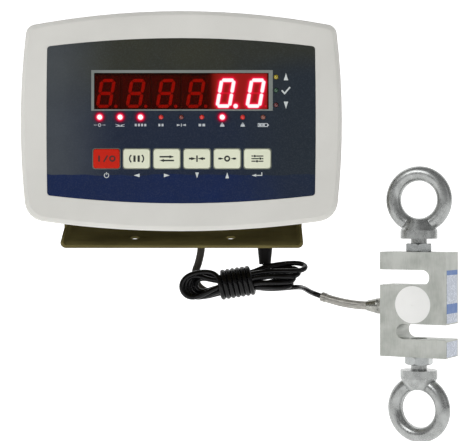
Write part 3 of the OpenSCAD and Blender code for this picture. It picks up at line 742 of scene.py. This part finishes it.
def status_look():
    """Lamps in a row, each with its own state: white hot with a red rim, or an unlit lens with a faint
    painted glow.
    """
    look = Look("status_lamps", Roughness=0.25, Coat_Weight=0.5)
    start = FACE_X + (LAMP_U - LAMP_PITCH/2)/1000
    share = look.math("DIVIDE", look.math("SUBTRACT", look.axis("X"), start), 9*LAMP_PITCH/1000)
    colours = [(i/9, (255, 246, 246) if s == LIT else s) for i, s in enumerate(STATUS)]
    # Lit lamps glow fully; the unlit lenses get a faint painted glow.
    glow = [(i/9, (255, 255, 255) if s == LIT else (84, 84, 84) if s == RED else (70, 70, 70))
            for i, s in enumerate(STATUS)]
    colour = look.ramp(share, colours, "CONSTANT")
    frost = look.noise(0.0008, 2)
    look.set(Base_Color=look.mix(look.spread(frost, 0.4, 0.7, 0, 0.25), colour, (120, 20, 20), "MULTIPLY"),
             Emission_Color=colour, Emission_Strength=look.ramp(share, glow, "CONSTANT"))
    return look


def limit_look():
    """Three lenses, one above the other: olive, dark green and dark red."""
    look = Look("limit_lamps", Roughness=0.25, Coat_Weight=0.5)
    share = look.spread(look.axis("Z"), FACE_Z + 0.005, FACE_Z + 0.037)
    colour = look.ramp(share, [(0, (92, 30, 34)), (0.35, (32, 72, 50)), (0.66, (168, 150, 34))], "CONSTANT")
    frost = look.spread(look.noise(0.0008, 2), 0.4, 0.7, 0, 0.3)
    look.set(Base_Color=look.mix(frost, colour, (60, 60, 40), "MULTIPLY"))
    return look


give(status_look(), "status_leds")
give(limit_look(), "limit_leds")

DIGIT_U, DIGIT_PITCH, DIGIT_V = -54.4, 21.6, 20.0
BAR, HALF_H, HALF_W, SLANT = 2.3, 9.3, 4.45, math.tan(math.radians(10))


def glow_look(name, stops, strength=1.0):
    """Light that shows on a surface: a ramp on the sheet's own glow number, clear where it is 0."""
    look = Look(name)
    amount = look.node("ShaderNodeAttribute", {"attribute_name": "glow"}).outputs["Fac"]
    shine = look.node("ShaderNodeEmission", Color=look.ramp(amount, stops), Strength=strength)
    clear = look.node("ShaderNodeBsdfTransparent")
    both = look.node("ShaderNodeMixShader", Fac=look.spread(amount, 0.0, 0.55, kind="SMOOTHSTEP"))
    look.join(clear.outputs[0], both.inputs[1])
    look.join(shine.outputs[0], both.inputs[2])
    look.join(both.outputs[0], look.output.inputs["Surface"])
    look.tree.nodes.remove(look.shader)
    return look


def glow_sheet(name, box, step, y, field, look, keep=0.004):
    """A sheet in the face's plane with a glow number at each point; squares with none are left out."""
    u0, v0, u1, v1 = box
    us, vs = np.arange(u0, u1 + step/2, step), np.arange(v0, v1 + step/2, step)
    uu, vv = np.meshgrid(us, vs)
    glow = field(uu, vv)
    number = np.arange(uu.size).reshape(uu.shape)
    corners = np.stack([number[:-1, :-1], number[:-1, 1:], number[1:, 1:], number[1:, :-1]], -1)
    corners = corners.reshape(-1, 4)
    corners = corners[glow.ravel()[corners].max(1) > keep]
    used, back = np.unique(corners, return_inverse=True)
    verts = [at_face(u, v, y) for u, v in zip(uu.ravel()[used], vv.ravel()[used])]
    sheet = add_mesh(name, verts, back.reshape(-1, 4).tolist(), look, "scale")
    sheet.data.attributes.new("glow", "FLOAT", "POINT").data.foreach_set("value", glow.ravel()[used])
    return sheet


def capsule(uu, vv, a, b):
    """Distance to the straight stretch from a to b."""
    d = np.array(b) - np.array(a)
    t = np.clip(((uu - a[0])*d[0] + (vv - a[1])*d[1])/(d @ d), 0, 1)
    return np.hypot(uu - a[0] - t*d[0], vv - a[1] - t*d[1])


def display_glow(uu, vv):
    """Two lit noughts and the point between them, a glow washed over the window round them, and a faint
    painted glow on the unlit middle bars and point.
    """
    away = np.full(uu.shape, 99.0)
    for i in (4, 5):
        c = DIGIT_U + i*DIGIT_PITCH
        def corner(x, z):
            return (c + x + z*SLANT, DIGIT_V + z)
        gap = 1.5
        for z in (-HALF_H, HALF_H):
            away = np.minimum(away, capsule(uu, vv, corner(gap - HALF_W, z), corner(HALF_W - gap, z)))
        for x in (-HALF_W, HALF_W):
            for z0, z1 in ((-HALF_H + gap, -gap), (gap, HALF_H - gap)):
                away = np.minimum(away, capsule(uu, vv, corner(x, z0), corner(x, z1)))
    point = np.hypot(uu - DIGIT_U - 4*DIGIT_PITCH - 7.2, vv - DIGIT_V + HALF_H) - 0.35
    away = np.minimum(away, point) - BAR*0.47
    # The unlit middle bars and the unlit point after the last nought get a faint painted glow.
    unlit = np.hypot(uu - DIGIT_U - 5*DIGIT_PITCH - 7.2, vv - DIGIT_V + HALF_H) - 0.3
    for i in (4, 5):
        c = DIGIT_U + i*DIGIT_PITCH
        unlit = np.minimum(unlit, capsule(uu, vv, (c - 2.9, DIGIT_V), (c + 2.9, DIGIT_V)))
    faint = 0.44*np.clip((0.75 - unlit)/0.4, 0, 1)
    wash = 0.33/(1 + np.exp(-(uu - 21.5)/1.6))*np.clip((63 - uu)/1.5, 0.4, 1)
    wash = np.maximum(wash, faint)
    halo = wash + 0.62*np.exp(-np.maximum(away, 0)/0.75)
    core = 1.15 - np.maximum(away + 0.1, 0)*4
    return np.clip(np.maximum(halo, core), 0, 1)


def lamp_glow(uu, vv):
    out = np.zeros(uu.shape)
    for i, state in enumerate(STATUS):
        if state == LIT:
            away = np.hypot(uu - LAMP_U - i*LAMP_PITCH, vv - LAMP_V) - LAMP_R
            out = np.maximum(out, np.where(away < -0.1, 0, np.exp(-np.maximum(away, 0)/1.35)))
    return np.where(out < 0.02, 0, out)


# Just in front of the window, and just in front of the overlay
WINDOW_Y, OVERLAY_Y = -0.01445, -0.01504
HOT = [(0, (120, 14, 10)), (0.3, (164, 36, 28)), (0.5, (226, 24, 52)), (0.72, (255, 44, 92)),
       (0.9, (255, 226, 234)), (1, (255, 255, 255))]
glow_sheet("display_glow", (12, 8.6, 62.8, 34.2), 0.25, WINDOW_Y, display_glow,
           glow_look("display_glow", HOT))
HALO = [(0, (90, 20, 60)), (0.25, (140, 16, 54)), (0.55, (226, 22, 58)), (0.8, (255, 84, 116)),
        (1, (255, 236, 240))]
glow_sheet("lamp_glow", (-66, -3, 36, 8.5), 0.3, OVERLAY_Y, lamp_glow,
           glow_look("lamp_glow", HALO))

# ---- print on the overlay ----
silver = plastic("silver_print", (128, 134, 130), (108, 114, 110), rough=0.4, grain=0.0006)
pale = plastic("pale_print", (206, 212, 212), (186, 192, 192), rough=0.5)
faint = plastic("faint_print", (196, 202, 206), (176, 182, 188), rough=0.5)
PRINT_Y, RIM_Y, KEY_Y = -0.01506, -0.01503, -0.01606
frame_print = Print(PRINT_Y)
left, low, right, high = -64.6, 7.3, 65.9, 36.5
in_left, in_low, in_right, in_high = -62.6, 8.3, 63.0, 34.5
for box in ((left, low, in_left, high), (in_right, low, right, high),
            (in_left, low, in_right, in_low), (in_left, in_high, in_right, high)):
    frame_print.rect(*box)
frame_print.piece("window_frame", silver)

LEGEND_V, LEGEND_GROWN = -3.0, 1.2
lamp_u = [LAMP_U + i*LAMP_PITCH for i in range(9)]


def under_lamp(u, v, y):
    """As at_face, with each sign grown about its own middle."""
    middle = min(lamp_u, key=lambda m: abs(m - u))
    return at_face(middle + LEGEND_GROWN*(u - middle), LEGEND_V + LEGEND_GROWN*(v - LEGEND_V), y)


legends = Print(PRINT_Y, place=under_lamp)


def legend_zero(p, u, v):
    p.ring(u, v, 0.8, 0.4, count=16)
    p.line([(u - 3.4, v), (u - 1.5, v)], 0.45)
    p.line([(u + 1.5, v), (u + 3.4, v)], 0.45)
    p.arrow(u - 1.9, v, 0.6, 0)
    p.arrow(u + 1.9, v, 0.6, 180)


def legend_steady(p, u, v):
    p.area([(u - 3.2, v + 0.6), (u - 0.3, v - 0.8), (u - 0.3, v + 0.1)])
    p.area([(u + 3.2, v + 0.6), (u + 0.3, v + 0.1), (u + 0.3, v - 0.8)])
    p.rect(u - 2.6, v - 0.95, u + 2.6, v - 0.6)


def legend_bars(p, u, v, widths):
    left = u - sum(widths)/2 - 0.35*(len(widths) - 1)
    for w in widths:
        p.rect(left, v - 0.75, left + w, v + 0.75)
        left += w + 0.7


def legend_battery(p, u, v):
    p.line([(u - 3, v - 0.9), (u + 2.6, v - 0.9), (u + 2.6, v + 0.9), (u - 3, v + 0.9)], 0.4, True)
    p.rect(u + 2.8, v - 0.4, u + 3.4, v + 0.4)
    p.rect(u - 2.5, v - 0.5, u - 0.9, v + 0.5).rect(u - 0.6, v - 0.5, u + 1.0, v + 0.5)


def legend_tared(p, u, v):
    p.arrow(u - 1.6, v, 1.1, 0)
    p.rect(u - 0.2, v - 0.9, u + 0.2, v + 0.9)
    p.arrow(u + 1.6, v, 1.1, 180)


def legend_weight(p, u, v):
    p.area([(u - 1.4, v - 0.9), (u + 1.4, v - 0.9), (u + 0.9, v + 0.5), (u - 0.9, v + 0.5)])
    p.ring(u, v + 0.85, 0.4, 0.3, count=12)


legend_zero(legends, lamp_u[0], LEGEND_V)
legend_steady(legends, lamp_u[1], LEGEND_V)
legend_bars(legends, lamp_u[2], LEGEND_V, (1.2, 1.2, 1.2, 1.2))
legend_bars(legends, lamp_u[3], LEGEND_V, (1.2, 1.2))
legend_tared(legends, lamp_u[4], LEGEND_V)
legend_bars(legends, lamp_u[5], LEGEND_V, (1.6, 1.6))
legend_weight(legends, lamp_u[6], LEGEND_V)
legend_weight(legends, lamp_u[7], LEGEND_V)
legend_battery(legends, lamp_u[8], LEGEND_V)
legends.piece("lamp_legends", faint)

limit_marks = Print(PRINT_Y)
limit_marks.arrow(75.4, 31.8, 2.6, 90)
limit_marks.line([(72.4, 22.0), (74.4, 19.7), (78.3, 24.2)], 1.1)
limit_marks.arrow(75.4, 11.3, 2.6, -90)
limit_marks.piece("limit_marks", pale)

KEY_U, KEY_PITCH, KEY_V = -53.65, 21.7, -27.2
key_u = [KEY_U + i*KEY_PITCH for i in range(6)]
SYMBOL_V = -39.2
symbols = Print(PRINT_Y)
symbols.ring(key_u[0], SYMBOL_V, 1.6, 0.55, 115, 310)
symbols.rect(key_u[0] - 0.28, SYMBOL_V + 0.4, key_u[0] + 0.28, SYMBOL_V + 2.3)
for k, turn in ((1, 180), (2, 0), (3, -90), (4, 90)):
    symbols.arrow(key_u[k], SYMBOL_V, 2.1, turn)
symbols.arrow(key_u[5] - 2.4, SYMBOL_V, 1.6, 180)
symbols.line([(key_u[5] - 1.2, SYMBOL_V), (key_u[5] + 3.2, SYMBOL_V), (key_u[5] + 3.2, SYMBOL_V + 2.2)], 0.6)
symbols.piece("key_symbols", pale)

RIM_HALF_W, RIM_HALF_H, RIM_R = 9.9, 7.35, 1.7
rim_u, rim_v = RIM_HALF_W - RIM_R, RIM_HALF_H - RIM_R
rim_corners = [(rim_u, rim_v, 0), (-rim_u, rim_v, 90), (-rim_u, -rim_v, 180), (rim_u, -rim_v, 270)]
rims = Print(RIM_Y, 0.00003)
for u in key_u:
    outline = [(u + du + RIM_R*math.cos(math.radians(a)), KEY_V + dv + RIM_R*math.sin(math.radians(a)))
               for du, dv, start in rim_corners for a in range(start, start + 91, 30)]
    rims.line(outline, 0.5, True)
rims.piece("key_rims", plastic("rim_print", (118, 124, 112), (96, 102, 92), rough=0.5))

# ---- key legends, one generic sign on each ----
ink = plastic("key_ink", (34, 38, 32), (24, 27, 23), rough=0.5)
red_ink = plastic("red_key_ink", (84, 14, 8), (64, 10, 6), rough=0.5)


def on_key(k, name, look, draw):
    sign = Print(KEY_Y, 0.00008)
    draw(sign, key_u[k], KEY_V)
    sign.piece(f"legend_{name}", look, f"button_{name}", "key_red" if k == 0 else "key_cream")


def draw_on_off(p, u, v):
    p.rect(u - 5.9, v - 2.2, u - 4.6, v + 2.2)
    p.line([(u - 1.9, v - 2.3), (u + 0.9, v + 2.3)], 1.1)
    p.ring(u + 4.3, v, 1.75, 1.2)


def draw_hold(p, u, v):
    p.rect(u - 2.3, v - 2.3, u - 0.7, v + 2.3).rect(u + 0.7, v - 2.3, u + 2.3, v + 2.3)
    p.ring(u - 1.6, v, 3.4, 1.0, 130, 100, 10).ring(u + 1.6, v, 3.4, 1.0, -50, 100, 10)


def draw_unit(p, u, v):
    p.arrow(u + 3.6, v + 1.35, 1.7, 0).line([(u - 5.2, v + 1.35), (u + 2.2, v + 1.35)], 1.1)
    p.arrow(u - 3.6, v - 1.35, 1.7, 180).line([(u + 5.2, v - 1.35), (u - 2.2, v - 1.35)], 1.1)


def draw_tare(p, u, v):
    p.arrow(u - 2.4, v, 1.8, 0).line([(u - 5.8, v), (u - 4.0, v)], 1.2)
    p.arrow(u + 2.4, v, 1.8, 180).line([(u + 5.8, v), (u + 4.0, v)], 1.2)
    p.rect(u - 0.55, v - 2.3, u + 0.55, v + 2.3)


def draw_zero(p, u, v):
    p.ring(u, v, 1.65, 1.15)
    p.arrow(u - 3.9, v, 1.5, 0).line([(u - 6.4, v), (u - 5.2, v)], 1.2)
    p.arrow(u + 3.9, v, 1.5, 180).line([(u + 6.4, v), (u + 5.2, v)], 1.2)


def draw_set(p, u, v):
    for dv, knob in ((1.85, -1.9), (0, 2.1), (-1.85, -0.3)):
        for u0, u1 in ((-4.3, knob - 1.0), (knob + 1.0, 4.3)):
            p.rect(u + u0, v + dv - 0.4, u + u1, v + dv + 0.4)
        p.disc(u + knob, v + dv, 0.85, 16)


for k, (name, draw) in enumerate((("on_off", draw_on_off), ("hold", draw_hold), ("unit", draw_unit),
                                  ("tare", draw_tare), ("zero", draw_zero), ("set", draw_set))):
    on_key(k, name, red_ink if k == 0 else ink, draw)
